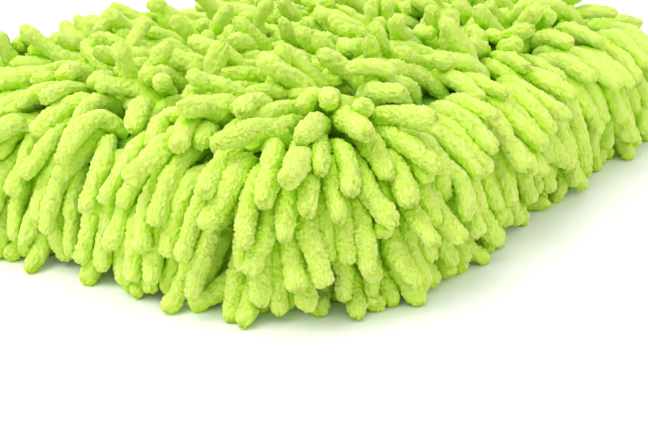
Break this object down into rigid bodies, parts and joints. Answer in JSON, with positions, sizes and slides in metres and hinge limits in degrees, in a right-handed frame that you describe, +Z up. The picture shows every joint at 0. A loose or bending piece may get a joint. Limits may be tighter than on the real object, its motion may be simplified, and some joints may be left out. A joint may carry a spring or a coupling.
{
  "type": "wash mitt",
  "caption": "Chenille microfibre wash mitt: padded two-faced pocket covered in soft noodles, with a ribbed elastic cuff, a hanging loop and a care label.",
  "frame": {"origin": "on the surface that the mitt lies on, under the middle of its outer size", "axes": "+X across the mitt's width, +Y to the fingertips with the cuff at -Y, +Z up, from palm to back"},
  "size_m": [0.2234, 0.2818, 0.0556],
  "materials": {
    "chenille": "matte",
    "base_knit": "matte",
    "foam": "matte",
    "lining": "matte",
    "binding": "matte",
    "rib_knit": "matte",
    "elastic": "matte",
    "thread": "matte",
    "webbing": "matte",
    "label": "satin"
  },
  "bodies": {
    "mitt": {"back_fabric": "base_knit", "palm_fabric": "base_knit", "back_foam": "foam", "palm_foam": "foam", "back_lining": "lining", "palm_lining": "lining", "seam_binding": "binding", "side_seam_thread": "thread", "cuff": "rib_knit", "cuff_elastic": "elastic", "cuff_hem_thread": "thread", "cuff_join_thread": "thread", "loop_tack": "thread", "label_tack": "thread", "back_noodles_row_01": "chenille", "back_noodles_row_02": "chenille", "back_noodles_row_03": "chenille", "back_noodles_row_04": "chenille", "back_noodles_row_05": "chenille", "back_noodles_row_06": "chenille", "back_noodles_row_07": "chenille", "back_noodles_row_08": "chenille", "back_noodles_row_09": "chenille", "back_noodles_row_10": "chenille", "back_noodles_row_11": "chenille", "back_noodles_row_12": "chenille", "back_noodles_row_13": "chenille", "back_noodles_row_14": "chenille", "back_noodles_row_15": "chenille", "back_noodles_row_16": "chenille", "back_noodles_row_17": "chenille", "back_noodles_row_18": "chenille", "back_noodles_row_19": "chenille", "palm_noodles_row_01": "chenille", "palm_noodles_row_02": "chenille", "palm_noodles_row_03": "chenille", "palm_noodles_row_04": "chenille", "palm_noodles_row_05": "chenille", "palm_noodles_row_06": "chenille", "palm_noodles_row_07": "chenille", "palm_noodles_row_08": "chenille", "palm_noodles_row_09": "chenille", "palm_noodles_row_10": "chenille", "palm_noodles_row_11": "chenille", "palm_noodles_row_12": "chenille", "palm_noodles_row_13": "chenille", "palm_noodles_row_14": "chenille", "palm_noodles_row_15": "chenille", "palm_noodles_row_16": "chenille", "palm_noodles_row_17": "chenille", "palm_noodles_row_18": "chenille", "palm_noodles_row_19": "chenille", "edge_noodles_tier_1": "chenille", "edge_noodles_tier_2": "chenille", "edge_noodles_tier_3": "chenille", "edge_noodles_tier_4": "chenille", "edge_noodles_tier_5": "chenille"},
    "hanging_loop": {"hanging_loop": "webbing"},
    "care_label": {"care_label": "label"}
  },
  "joints": [
    {"name": "loop_swing", "type": "hinge", "parent": "mitt", "child": "hanging_loop", "pos_m": [-0.026, -0.10288, 0.04466], "axis": [-1, 0, 0], "range_deg": [0, 100]},
    {"name": "label_flip", "type": "hinge", "parent": "mitt", "child": "care_label", "pos_m": [0.024, -0.10028, 0.04056], "axis": [-1, 0, 0], "range_deg": [0, 100]}
  ]
}
